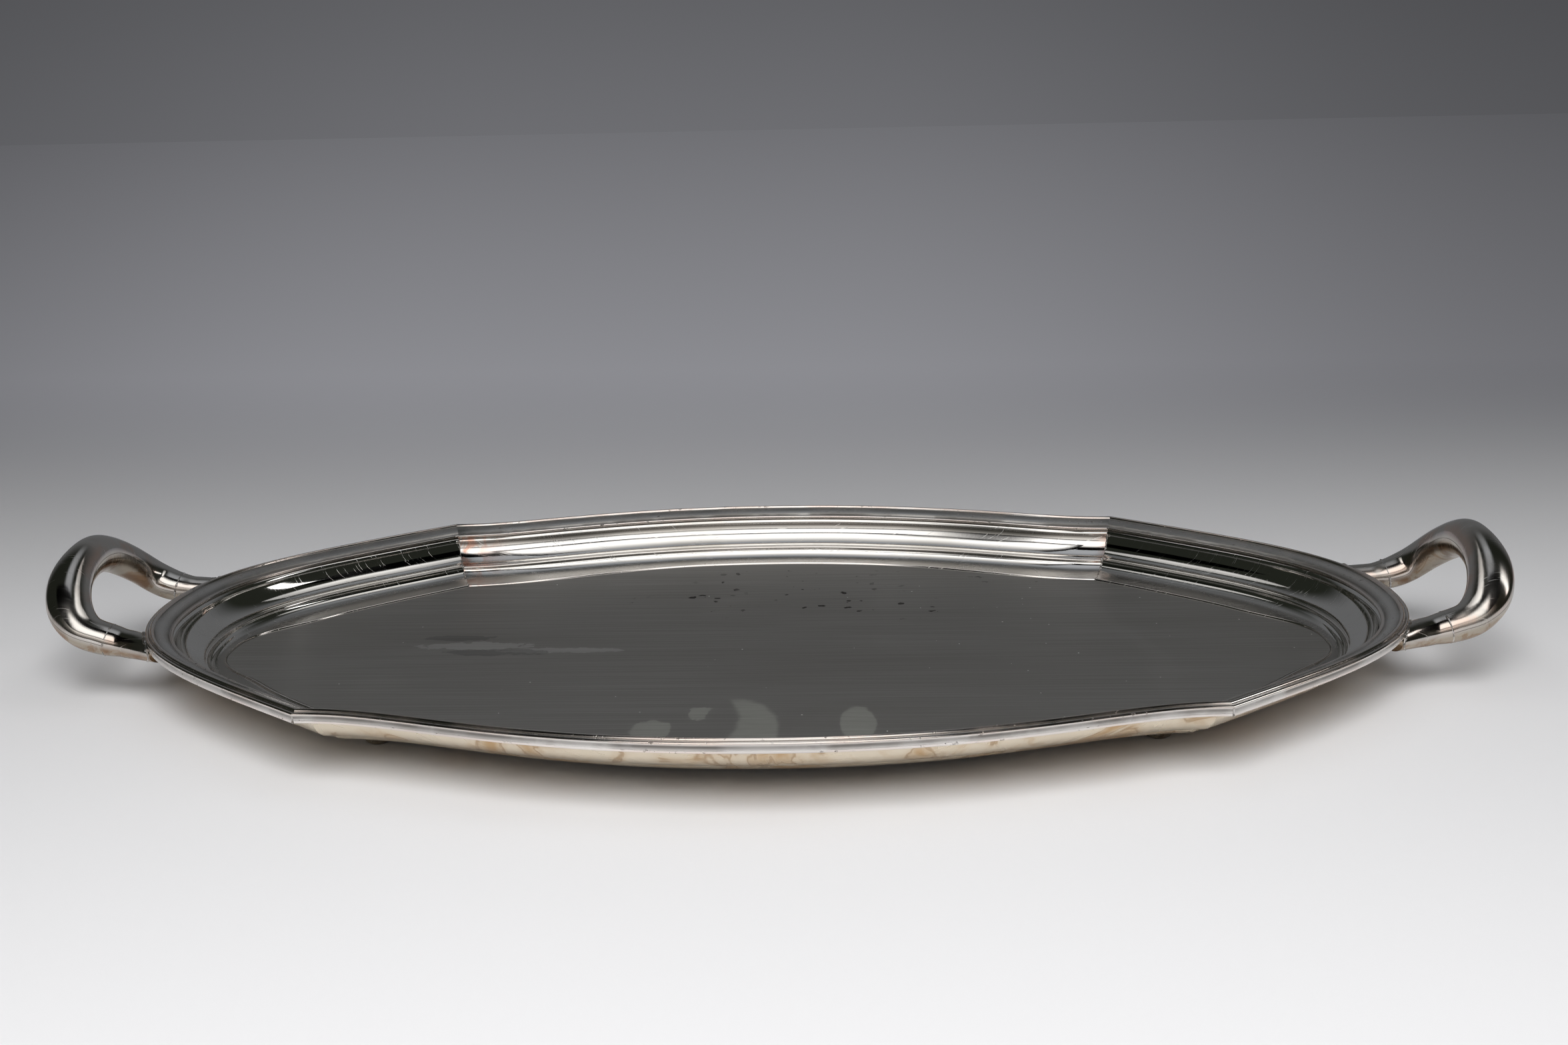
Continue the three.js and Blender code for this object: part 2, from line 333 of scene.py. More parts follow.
class Graph:
    """Short calls for building a node tree. Inputs are numbers, colours or other nodes' sockets."""

    def __init__(self, tree):
        self.tree = tree

    def node(self, kind, settings=None, **inputs):
        made = self.tree.nodes.new(kind)
        for name, value in (settings or {}).items():
            setattr(made, name, value)
        for name, value in inputs.items():
            self.put(made.inputs[name.replace("_", " ")], value)
        return made

    def put(self, socket, value):
        if isinstance(value, bpy.types.NodeSocket):
            self.tree.links.new(value, socket)
        else:
            socket.default_value = value

    def math(self, operation, a, b=0.0, clamp=False):
        made = self.node("ShaderNodeMath", {"operation": operation, "use_clamp": clamp})
        self.put(made.inputs[0], a)
        self.put(made.inputs[1], b)
        return made.outputs[0]

    def ramp(self, value, low, high, out_low=0.0, out_high=1.0):
        made = self.node("ShaderNodeMapRange", {"interpolation_type": "SMOOTHSTEP"})
        for socket, number in zip(made.inputs, (value, low, high, out_low, out_high)):
            self.put(socket, number)
        return made.outputs[0]

    def noise(self, vector, scale, detail=3.0, distortion=0.0):
        made = self.node("ShaderNodeTexNoise", Vector=vector, Scale=scale, Detail=detail,
                         Distortion=distortion)
        return made.outputs[0]

    def stretched(self, vector, scale, turn=0.0, shift=(0, 0, 0)):
        made = self.node("ShaderNodeMapping", Vector=vector, Scale=scale,
                         Rotation=(0, 0, math.radians(turn)), Location=shift)
        return made.outputs[0]

    def mix(self, factor, a, b):
        made = self.node("ShaderNodeMix", {"data_type": "RGBA", "blend_type": "MIX"})
        self.put(made.inputs[0], factor)
        self.put(made.inputs[6], a)
        self.put(made.inputs[7], b)
        return made.outputs[2]

    def mask(self, name):
        return self.node("ShaderNodeAttribute", {"attribute_name": name}).outputs["Fac"]

    def place(self):
        return self.node("ShaderNodeTexCoord").outputs["Object"]


def rgb(red, green, blue):
    """A linear colour for a shader socket."""
    return (red, green, blue, 1.0)


SILVER = rgb(0.86, 0.84, 0.81)
DULL_SILVER = rgb(0.56, 0.545, 0.525)
CREAM = rgb(0.79, 0.71, 0.58)
STRAW = rgb(0.56, 0.39, 0.22)
COPPER = rgb(0.80, 0.47, 0.36)
ROSE = rgb(0.88, 0.70, 0.61)
SOOT = rgb(0.055, 0.045, 0.035)
SOLDER = rgb(0.70, 0.68, 0.66)
DARK_SOLDER = rgb(0.34, 0.31, 0.28)
SCRATCH = rgb(0.95, 0.94, 0.92)
CLOUDED_SILVER = rgb(0.66, 0.63, 0.57)
FOOT_OF_WALL = rgb(0.17, 0.155, 0.135)
BROWN_EDGE = rgb(0.34, 0.20, 0.09)
SATIN = rgb(0.165, 0.163, 0.158)
DARK_STREAK = rgb(0.135, 0.132, 0.127)
DULL_PATCH = rgb(0.125, 0.121, 0.114)
SPOT = rgb(0.015, 0.014, 0.012)
DENT_HIGHLIGHT = rgb(0.36, 0.36, 0.36)
DENT_SHADE = rgb(0.05, 0.05, 0.05)
FINGER_GREASE = rgb(0.50, 0.52, 0.47)
SPECK = rgb(0.75, 0.74, 0.72)
HANDLE_SILVER = rgb(0.66, 0.635, 0.60)
HANDLE_HAZE = rgb(0.44, 0.41, 0.37)
HANDLE_ROSE = rgb(0.70, 0.54, 0.46)
HANDLE_CREAM = rgb(0.50, 0.44, 0.36)
HANDLE_BROWN = rgb(0.30, 0.19, 0.12)
FOOT_PALE = rgb(0.42, 0.37, 0.30)
FOOT_DARK = rgb(0.16, 0.13, 0.10)


def blank_material(name):
    """A new metal material with only its shader and output: the material, its graph and its shader."""
    material = bpy.data.materials.new(name)
    material.use_nodes = True
    tree = material.node_tree
    tree.nodes.clear()
    graph = Graph(tree)
    shader = graph.node("ShaderNodeBsdfPrincipled", Metallic=1.0)
    output = graph.node("ShaderNodeOutputMaterial")
    tree.links.new(shader.outputs[0], output.inputs[0])
    return material, graph, shader


def scratches(graph, place, turn, length, width, seed):
    """Thin lines in one direction: 1 on a scratch, 0 beside it. Length and width are in metres."""
    lined = graph.stretched(place, (1 / length, 1 / width, 1 / length), turn, (seed, seed * 0.7, 0))
    grain = graph.noise(lined, 1.0, 1.0)
    where = graph.noise(place, 24.0 + seed, 2.0)
    line = graph.ramp(grain, 0.70, 0.76)
    return graph.math("MULTIPLY", line, graph.ramp(where, 0.42, 0.60))


def all_scratches(graph, place):
    """Scratches in four directions."""
    lines = scratches(graph, place, 20, 0.02, 0.00035, 3.1)
    for turn, seed in ((75, 7.7), (-40, 11.3), (140, 17.9)):
        lines = graph.math("MAXIMUM", lines, scratches(graph, place, turn, 0.016, 0.0003, seed))
    return lines


def tarnish(graph, place, colour, amount, pale=CREAM, deep=STRAW, scale=26.0):
    """Pale and deeper blotches with thin brown edges, as old plate has where it isn't rubbed."""
    broad = graph.noise(place, scale, 4.0, 1.2)
    fine = graph.noise(place, scale * 3.6, 5.0, 0.6)
    base = graph.mix(graph.ramp(broad, 0.42, 0.66), pale, deep)
    base = graph.mix(graph.ramp(fine, 0.50, 0.72, 0.0, 0.45), base, deep)
    edge = graph.math("ABSOLUTE", graph.math("SUBTRACT", broad, 0.52))
    base = graph.mix(graph.ramp(edge, 0.0, 0.022, 0.5, 0.0), base, BROWN_EDGE)
    return graph.mix(amount, colour, base)


def bumps(graph, shader, *layers):
    """Stacks bump layers of (height socket, distance in metres)."""
    normal = None
    for height, distance in layers:
        bump = graph.node("ShaderNodeBump", Height=height, Distance=distance, Strength=1.0)
        if normal:
            graph.put(bump.inputs["Normal"], normal)
        normal = bump.outputs[0]
    graph.put(shader.inputs["Normal"], normal)


def polished_plate(name):
    """Mirror-bright walls: scratches, dull clouds, copper near the solder and a tarnished underside."""
    material, graph, shader = blank_material(name)
    place = graph.place()
    cloud = graph.noise(place, 16.0, 4.0, 0.5)
    lines = all_scratches(graph, place)
    under = graph.mask("under")
    colour = graph.mix(graph.ramp(cloud, 0.45, 0.75, 0.0, 0.45), SILVER, CLOUDED_SILVER)
    colour = graph.mix(graph.math("MULTIPLY", lines, 0.5), colour, SCRATCH)
    bled = graph.ramp(graph.noise(place, 120.0, 4.0, 0.8), 0.38, 0.56)
    bled = graph.math("MULTIPLY", graph.mask("bleed"), bled)
    colour = graph.mix(bled, colour, COPPER)
    bead = graph.ramp(graph.noise(place, 40.0, 2.0), 0.35, 0.65, 0.1, 0.25)
    bead = graph.math("MULTIPLY", graph.mask("bead"), bead)
    colour = graph.mix(bead, colour, ROSE)
    corner = graph.mask("corner")
    colour = graph.mix(graph.math("MULTIPLY", corner, 0.85), colour, FOOT_OF_WALL)
    colour = tarnish(graph, place, colour, under)
    graph.put(shader.inputs["Base Color"], colour)
    rough = graph.ramp(cloud, 0.40, 0.75, 0.05, 0.13)
    rough = graph.math("ADD", rough, graph.math("MULTIPLY", corner, 0.30))
    rough = graph.math("ADD", rough, graph.math("MULTIPLY", lines, 0.25))
    rough = graph.math("ADD", rough, graph.math("MULTIPLY", under, 0.16))
    rough = graph.math("ADD", rough, graph.math("MULTIPLY", bled, 0.15), clamp=True)
    graph.put(shader.inputs["Roughness"], rough)
    bumps(graph, shader, (graph.noise(place, 26.0, 1.0), 0.00016),
          (graph.noise(place, 900.0, 2.0), 0.000003), (lines, -0.00001))
    return material


def rubbed_plate(name):
    """The rim: silver rubbed to rose on its crests, with soot in its grooves and scattered pits."""
    material, graph, shader = blank_material(name)
    place = graph.place()
    wear = graph.noise(place, 48.0, 3.0, 0.3)
    colour = graph.mix(graph.ramp(graph.noise(place, 18.0, 3.0), 0.4, 0.7, 0.0, 0.5), SILVER, DULL_SILVER)
    crest = graph.math("MULTIPLY", graph.mask("crest"), graph.ramp(wear, 0.35, 0.65, 0.2, 0.6))
    colour = graph.mix(crest, colour, ROSE)
    pits = graph.math("MULTIPLY", graph.ramp(graph.noise(place, 420.0, 3.0), 0.60, 0.70),
                      graph.ramp(graph.noise(place, 45.0, 2.0), 0.45, 0.62))
    groove = graph.math("MULTIPLY", graph.mask("groove"), graph.ramp(wear, 0.30, 0.62, 0.55, 0.95))
    dark = graph.math("MAXIMUM", groove, graph.math("MULTIPLY", pits, 0.75))
    colour = graph.mix(dark, colour, SOOT)
    graph.put(shader.inputs["Base Color"], colour)
    rough = graph.ramp(wear, 0.35, 0.70, 0.10, 0.22)
    rough = graph.math("ADD", rough, graph.math("MULTIPLY", dark, 0.35), clamp=True)
    graph.put(shader.inputs["Roughness"], rough)
    bumps(graph, shader, (graph.noise(place, 60.0, 1.0), 0.00005), (pits, -0.00005))
    return material


def smudge(graph, place, centre, size, turn, ragged):
    """A soft-edged oval mark on the floor, 1 inside and 0 outside. Sizes are half widths in metres."""
    x, y = centre
    moved = graph.node("ShaderNodeVectorMath", {"operation": "SUBTRACT"})
    graph.put(moved.inputs[0], place)
    graph.put(moved.inputs[1], (x, y, 0))
    lying = graph.stretched(moved.outputs[0], (1 / size[0], 1 / size[1], 0), turn)
    reach = graph.node("ShaderNodeVectorMath", {"operation": "LENGTH"})
    graph.put(reach.inputs[0], lying)
    uneven = graph.math("MULTIPLY", graph.math("SUBTRACT", graph.noise(place, 160.0, 3.0), 0.5), ragged)
    return graph.ramp(graph.math("ADD", reach.outputs["Value"], uneven), 0.86, 1.0, 1.0, 0.0)


# Centre and half sizes in metres, turn in degrees and raggedness of each mark on the floor.
FINGER_MARKS = [
    ((-0.012, -0.110), (0.020, 0.041), 0, 0.15),
    ((0.041, -0.101), (0.0085, 0.021), 6, 0.3),
    ((-0.049, -0.108), (0.009, 0.013), 12, 0.9),
    ((-0.029, -0.087), (0.005, 0.008), 40, 1.6),
]
FIN_CUT = ((-0.030, -0.096), (0.020, 0.036), 0, 0.15)  # takes a bite out of the first mark
SPOTTED_AREA = ((0.025, 0.085), (0.115, 0.052), 0, 1.2)
# Painted highlights and painted shade beside the dents: pale and dim streaks that stand in for the dents'
# reflections.
DENT_HIGHLIGHTS = [((-0.150, 0.004), (0.030, 0.006), -24, 1.4), ((-0.105, -0.004), (0.030, 0.004), -8, 1.4)]
DENT_SHADES = [((-0.138, -0.006), (0.026, 0.005), -22, 1.4), ((-0.160, 0.016), (0.020, 0.004), -20, 1.4)]


def brushed_plate(name):
    """The floor: satin plate with fine lengthwise streaks, dark spots, pale specks, finger marks, and
    painted highlights and painted shade that stand in for its dents' reflections.
    """
    material, graph, shader = blank_material(name)
    place = graph.place()
    streak = graph.noise(graph.stretched(place, (9, 900, 1)), 1.0, 4.0)
    broad = graph.noise(graph.stretched(place, (5, 22, 1)), 1.0, 4.0, 0.3)
    colour = graph.mix(graph.ramp(streak, 0.35, 0.65, 0.0, 0.7), SATIN, DARK_STREAK)
    colour = graph.mix(graph.ramp(broad, 0.35, 0.7, 0.0, 0.5), colour, DULL_PATCH)
    cells = graph.node("ShaderNodeTexVoronoi", Vector=place, Scale=130.0, Randomness=1.0)
    spot_size = graph.ramp(graph.noise(place, 300.0, 1.0), 0.35, 0.70, 0.10, 0.42)
    spot = graph.ramp(graph.math("SUBTRACT", cells.outputs["Distance"], spot_size), -0.12, 0.0, 1.0, 0.0)
    chance = graph.node("ShaderNodeSeparateColor", Color=cells.outputs["Color"]).outputs[0]
    chosen = graph.ramp(chance, 0.50, 0.53)
    reach = smudge(graph, place, *SPOTTED_AREA)
    soft_reach = graph.math("MULTIPLY", reach, graph.ramp(graph.noise(place, 14.0, 2.0), 0.40, 0.58))
    spots = graph.math("MULTIPLY", graph.math("MULTIPLY", spot, chosen), soft_reach)
    colour = graph.mix(graph.math("MULTIPLY", spots, 0.95), colour, SPOT)
    # Painted reflection of the dents: the pale streaks lighten the plate and the dim streaks darken it.
    pale = graph.math("MAXIMUM", *(smudge(graph, place, *smear) for smear in DENT_HIGHLIGHTS))
    colour = graph.mix(graph.math("MULTIPLY", pale, 0.34), colour, DENT_HIGHLIGHT)
    dim = graph.math("MAXIMUM", *(smudge(graph, place, *smear) for smear in DENT_SHADES))
    colour = graph.mix(graph.math("MULTIPLY", dim, 0.45), colour, DENT_SHADE)
    grain = graph.node("ShaderNodeTexVoronoi", Vector=place, Scale=210.0, Randomness=1.0)
    chance = graph.node("ShaderNodeSeparateColor", Color=grain.outputs["Color"]).outputs[1]
    lit = graph.ramp(chance, 0.93, 0.95)
    specks = graph.math("MULTIPLY", graph.ramp(grain.outputs["Distance"], 0.05, 0.10, 1.0, 0.0), lit)
    outside = graph.math("SUBTRACT", 1.0, smudge(graph, place, *FIN_CUT))
    marks = graph.math("MULTIPLY", smudge(graph, place, *FINGER_MARKS[0]), outside)
    for mark in FINGER_MARKS[1:]:
        marks = graph.math("MAXIMUM", marks, smudge(graph, place, *mark))
    swirl = graph.noise(graph.stretched(place, (60, 900, 1), 62), 1.0, 2.0)
    marks = graph.math("MULTIPLY", marks, graph.ramp(swirl, 0.2, 0.7, 0.65, 1.0))
    colour = graph.mix(graph.math("MULTIPLY", marks, 0.26), colour, FINGER_GREASE)
    colour = graph.mix(specks, colour, SPECK)
    graph.put(shader.inputs["Base Color"], colour)
    shader.inputs["Metallic"].default_value = 0.55
    shader.inputs["Specular IOR Level"].default_value = 0.2
    rough = graph.ramp(streak, 0.30, 0.70, 0.46, 0.54)
    rough = graph.math("ADD", rough, graph.math("MULTIPLY", marks, 0.10))
    rough = graph.math("ADD", rough, graph.math("MULTIPLY", spots, 0.25), clamp=True)
    graph.put(shader.inputs["Roughness"], rough)
    bumps(graph, shader, (streak, 0.000006), (specks, 0.00008), (spots, -0.00004))
    return material


def handle_plate(name):
    """Handles: bright above, and blotched with straw and brown below, where hands don't polish them."""
    material, graph, shader = blank_material(name)
    place = graph.place()
    lines = all_scratches(graph, place)
    haze = graph.noise(place, 40.0, 4.0, 0.6)
    colour = graph.mix(graph.ramp(haze, 0.42, 0.72, 0.0, 0.55), HANDLE_SILVER, HANDLE_HAZE)
    colour = graph.mix(graph.math("MULTIPLY", lines, 0.5), colour, SCRATCH)
    rosy = graph.ramp(graph.noise(place, 75.0, 4.0), 0.40, 0.60, 0.1, 0.9)
    rosy = graph.math("MULTIPLY", graph.mask("crest"), rosy)
    colour = graph.mix(rosy, colour, HANDLE_ROSE)
    low = graph.mask("under")
    colour = tarnish(graph, place, colour, low, HANDLE_CREAM, HANDLE_BROWN, 58.0)
    graph.put(shader.inputs["Base Color"], colour)
    rough = graph.ramp(haze, 0.40, 0.72, 0.10, 0.22)
    rough = graph.math("ADD", rough, graph.math("MULTIPLY", lines, 0.2))
    rough = graph.math("ADD", rough, graph.math("MULTIPLY", low, 0.12), clamp=True)
    graph.put(shader.inputs["Roughness"], rough)
    bumps(graph, shader, (graph.noise(place, 55.0, 2.0), 0.00018),
          (graph.noise(place, 900.0, 2.0), 0.000004), (lines, -0.00001))
    return material


def solder_metal(name):
    """Lumpy, dull solder."""
    material, graph, shader = blank_material(name)
    place = graph.place()
    patch = graph.noise(place, 260.0, 4.0, 0.5)
    colour = graph.mix(graph.ramp(patch, 0.40, 0.65), SOLDER, DARK_SOLDER)
    graph.put(shader.inputs["Base Color"], colour)
    graph.put(shader.inputs["Roughness"], graph.ramp(patch, 0.35, 0.70, 0.16, 0.38))
    bumps(graph, shader, (patch, 0.00012))
    return material


def foot_metal(name):
    """The feet: dull plate, dark with wear where they stand."""
    material, graph, shader = blank_material(name)
    place = graph.place()
    patch = graph.noise(place, 180.0, 4.0, 0.6)
    colour = graph.mix(graph.ramp(patch, 0.38, 0.66), FOOT_PALE, FOOT_DARK)
    graph.put(shader.inputs["Base Color"], colour)
    graph.put(shader.inputs["Roughness"], graph.ramp(patch, 0.35, 0.70, 0.25, 0.45))
    bumps(graph, shader, (patch, 0.00006))
    return material


WALL_METAL = polished_plate("polished_plate")
RIM_METAL = rubbed_plate("rubbed_plate")
FLOOR_METAL = brushed_plate("brushed_plate")
GRIP_METAL = handle_plate("handle_plate")
SOLDER_METAL = solder_metal("solder")
FOOT_METAL = foot_metal("dull_foot")


# -------------------- rim, walls and floor

# The tray repeats after half a turn: whether a half is turned, its long side and its end.
HALVES = [(False, "back", "right"), (True, "front", "left")]
LONG_STEPS = 210
END_STEPS = 230

SOLDER_REACH = 4  # from a corner to the solder's edge
BLEEDS = ((-CUSP_X, 17, 1.0), (CUSP_X, 5, 0.5))  # corner, length of the fade and strength


def add_bleed(piece, half_turn):
    """Copper that shows along a long wall's mitres, where soldering heat took the plate off."""
    mesh = piece.data
    places = np.array([v.co for v in mesh.vertices]) / MM
    sign = -1 if half_turn else 1
    bleed = np.zeros(len(places))
    for corner_x, reach, strength in BLEEDS:
        along = np.abs(places[:, 0] * sign - corner_x) - SOLDER_REACH
        bleed += strength * np.exp(-((np.maximum(along, 0) / reach) ** 2))
    add_mask(mesh, "bleed", np.clip(bleed, 0, 1))


for half_turn, long_name, end_name in HALVES:
    for side, side_name, steps in ((LONG, long_name, LONG_STEPS), (END, end_name, END_STEPS)):
        wall = sweep_side("wall_" + side_name, side, wall_section(), ("under", "bead", "corner"), half_turn,
                          steps, WALL_WAVE, WALL_METAL)
        if not side["is_end"]:
            add_bleed(wall, half_turn)
        sweep_side("rim_" + side_name, side, rim_section(), ("crest", "groove"), half_turn, steps,
                   RIM_WAVE, RIM_METAL)


# Centre, half sizes, turn in degrees and depth of each dent in the floor.
DENTS = [
    ((-142, 3), (26, 9), -18, 0.55),
    ((-108, -6), (30, 7), -10, -0.30),
    ((-165, 8), (12, 5), 5, 0.25),
]


def floor_height(x, y):
    """The plate's unevenness: broad waves and a few dents."""
    height = ripple(x, y, 0, 120, 0.22)
    for (at_x, at_y), (half_x, half_y), turn, depth in DENTS:
        c, s = math.cos(math.radians(turn)), math.sin(math.radians(turn))
        u = (c * (x - at_x) + s * (y - at_y)) / half_x
        v = (c * (y - at_y) - s * (x - at_x)) / half_y
        height -= depth * math.exp(-(u * u + v * v))
    return height


def floor_outline(inset, steps):
    """A closed inset line, anticlockwise from the right end's front corner."""
    outline = []
    for half in (1, -1):
        for side in (END, LONG):
            line = side_line(side, inset, steps)[:-1]
            outline += [(half * x, half * y) for x, y in line]
    return outline


def make_floor():
    """The floor plate: two uneven faces of rings that shrink towards the centre, joined round the edge."""
    outline = floor_outline(FLOOR_INSET + 0.05, 70)
    count = len(outline)
    rings = 56
    vertices, faces = [], []
    for level in (FLOOR_TOP, FLOOR_UNDER):
        for ring in range(rings):
            scale = 1 - ring / rings
            edge = min(1.0, ring / 5)
            for x, y in outline:
                wave = edge * floor_height(x * scale, y * scale)
                vertices.append((x * scale, y * scale, level + wave))
        vertices.append((0, 0, level + floor_height(0, 0)))
    under = rings * count + 1
    for ring in range(rings - 1):
        for index in range(count):
            a, b = ring * count + index, ring * count + (index + 1) % count
            faces.append((a, b, b + count, a + count))
            faces.append((under + a, under + a + count, under + b + count, under + b))
    last = (rings - 1) * count
    for index in range(count):
        after = (index + 1) % count
        faces.append((last + index, last + after, under - 1))
        faces.append((under + last + after, under + last + index, 2 * under - 1))
        faces.append((after, index, under + index, under + after))
    return make_piece("floor_plate", vertices, faces, {}, FLOOR_METAL, "floor_plate")


make_floor()


# -------------------- handles

# Half of one handle's centre line, from inside the rim to the middle of the grip, with the half width
# and half height of its oval section.
STATIONS = [
    ((284, 51.5, 27.2), (6.3, 4.8)),
    ((298, 44, 27.9), (7.5, 6.2)),
    ((312, 41.5, 30.1), (8.7, 7.4)),
    ((323, 42, 34.6), (9.6, 8)),
    ((331.5, 37, 43.3), (10.1, 8.4)),
    ((336.8, 21.5, 53.9), (10, 8.9)),
    ((336.3, 0, 59.5), (8.6, 9.7)),
]
LINE_SAMPLES = 1200
SMOOTHING = 22  # samples
ARM_END = 0.165  # the share of the handle's length that each cast arm takes
ARM_SCALE = 0.997  # a cast arm's section, as a share of the handle's
WAIST_DEPTH = 0.05
WAIST_PLACE = 0.76  # along the arm, from its root
WAIST_LENGTH = 0.13
SEAM_LIFT = 0.04  # half the gap between a grip's shells
SEAM_ANGLE = 0.3  # degrees by which each edge of a shell stops short of the seam


def through(points, t, centripetal):
    """A Catmull-Rom curve through a list of points, with t from 0 to 1 over the whole list."""
    spot = min(t * (len(points) - 1), len(points) - 1 - 1e-9)
    first = int(spot)
    f = spot - first
    p1, p2 = points[first], points[first + 1]
    p0 = points[first - 1] if first > 0 else 2 * p1 - p2
    p3 = points[first + 2] if first + 2 < len(points) else 2 * p2 - p1
    if centripetal:
        d0, d1, d2 = (math.sqrt(np.linalg.norm(b - a)) for a, b in ((p0, p1), (p1, p2), (p2, p3)))
        m1 = d1 * ((p1 - p0) / d0 - (p2 - p0) / (d0 + d1) + (p2 - p1) / d1)
        m2 = d1 * ((p2 - p1) / d1 - (p3 - p1) / (d1 + d2) + (p3 - p2) / d2)
    else:
        m1, m2 = (p2 - p0) / 2, (p3 - p1) / 2
    a = 2 * p1 - 2 * p2 + m1 + m2
    b = -3 * p1 + 3 * p2 - 2 * m1 - m2
    return ((a * f + b) * f + m1) * f + p1


def smoothed(rows, reach):
    """Evens out a sampled line so that reflections run along it without kinks."""
    offsets = np.arange(-3 * reach, 3 * reach + 1)
    weights = np.exp(-0.5 * (offsets / reach) ** 2)
    weights /= weights.sum()
    before = 2 * rows[0] - rows[3 * reach:0:-1]
    after = 2 * rows[-1] - rows[-2:-3 * reach - 2:-1]
    padded = np.concatenate([before, rows, after])
    return np.stack([np.convolve(column, weights, "valid") for column in padded.T], axis=1)


def handle_rows():
    """Rows of x, y, z, half width and half height along the whole right handle."""
    middle = len(STATIONS) - 1
    places = [np.array(at, float) for at, _ in STATIONS]
    places += [p * (1, -1, 1) for p in places[:middle][::-1]]
    sizes = [np.array(size, float) for _, size in STATIONS]
    sizes += sizes[:middle][::-1]
    rows = []
    for t in np.linspace(0, 1, LINE_SAMPLES + 1):
        rows.append((*through(places, t, True), *through(sizes, t, False)))
    return smoothed(np.array(rows), SMOOTHING)


HANDLE = handle_rows()


def handle_at(t):
    """Centre, half sizes, across and upright directions at t along the handle."""
    spot = t * LINE_SAMPLES
    low = min(int(spot), LINE_SAMPLES - 1)
    row = HANDLE[low] + (spot - low) * (HANDLE[low + 1] - HANDLE[low])
    tangent = unit(HANDLE[low + 1][:3] - HANDLE[low][:3])
    across = unit(np.cross((0, 0, 1), tangent))
    return row[:3], row[3:], across, np.cross(tangent, across)


def handle_ring(t, spots):
    """One ring of (angle in degrees, thickness inwards, lift, scale) spots round the handle at t."""
    centre, (wide, high), across, upright = handle_at(t)
    ring = []
    for angle, inside, lift, scale in spots:
        c, s = math.cos(math.radians(angle)), math.sin(math.radians(angle))
        rise = s * (high * scale - inside) + lift
        ring.append(centre + across * c * (wide * scale - inside) + upright * rise)
    return ring


def tarnish_masks(spots, steps):
    """Under and crest masks from a ring's angles: straw below, rose along the upper shoulders."""
    lows, crests = [], []
    for angle, *_ in spots:
        s = math.sin(math.radians(angle))
        lows.append(min(1.0, max(0.0, (0.12 - s) / 0.4)))
        crests.append(math.exp(-(((s - 0.45) / 0.3) ** 2)))
    return {"under": np.tile(lows, steps + 1), "crest": np.tile(crests, steps + 1)}


def turned(points, half_turn):
    """The points, or where half a turn about the tray's centre takes them."""
    return [(-x, -y, z) for x, y, z in points] if half_turn else points


def flat_section(spots):
    """A round stand-in for the handle's section, to be filled at the ends."""
    radius = 10
    section = []
    for angle, inside, lift, _ in spots:
        c, s = math.cos(math.radians(angle)), math.sin(math.radians(angle))
        section.append((c * (radius - inside), s * (radius - inside) + lift))
    return section


def make_grip(name, is_upper, half_turn):
    """A hollow half shell of a grip, up to a hairline seam with the other half."""
    start, lift = (0, SEAM_LIFT) if is_upper else (180, -SEAM_LIFT)
    first, last = start + SEAM_ANGLE, start + 180 - SEAM_ANGLE
    outer = [(a, 0, lift, 1.0) for a in np.linspace(first, last, 33)]
    inner = [(a, SHEET, lift, 1.0) for a in np.linspace(last, first, 25)]
    spots = outer + inner
    steps = 170
    points = []
    for t in np.linspace(ARM_END, 1 - ARM_END, steps + 1):
        points += handle_ring(t, spots)
    return make_piece(name, turned(points, half_turn), skin(steps + 1, flat_section(spots)),
                      tarnish_masks(spots, steps), GRIP_METAL, name)


END_LINE = [bezier(END["points"], t) for t in np.linspace(0, 1, 500)]
END_PLACES = np.array([place for place, _ in END_LINE])
END_INWARD = np.array([(-tangent[1], tangent[0]) for _, tangent in END_LINE])


def inset_of(x, y):
    """How far inside the rim's outer edge a point near an end lies."""
    offset = np.array((x, abs(y))) - END_PLACES
    nearest = np.argmin((offset**2).sum(axis=1))
    return offset[nearest] @ END_INWARD[nearest]


SKIRT_BOTTOM = RIM_LINE - SKIRT_DROP - 0.3


def under_rim(point):
    """Keeps what is inside the rim's outer edge below the skirt."""
    x, y, z = point
    if z > SKIRT_BOTTOM and inset_of(x, y) > -0.05:
        return (x, y, SKIRT_BOTTOM)
    return (x, y, z)


def make_arm(name, is_far, half_turn):
    """A cast arm: a tongue under the rim, a waist, and a shoulder where the grip's shells begin."""
    angles = np.linspace(0, 360, 48, endpoint=False)
    steps = 110
    points = []
    for reach in np.linspace(0, 1, steps + 1):
        from_root = reach if is_far else 1 - reach
        scale = ARM_SCALE - WAIST_DEPTH * math.exp(-(((from_root - WAIST_PLACE) / WAIST_LENGTH) ** 2))
        t = ARM_END * from_root
        points += handle_ring(t if is_far else 1 - t, [(angle, 0, 0, scale) for angle in angles])
    points = [under_rim(point) for point in points]
    spots = [(angle, 0, 0, 1.0) for angle in angles]
    return make_piece(name, turned(points, half_turn), skin(steps + 1, flat_section(spots)),
                      tarnish_masks(spots, steps), GRIP_METAL, name)


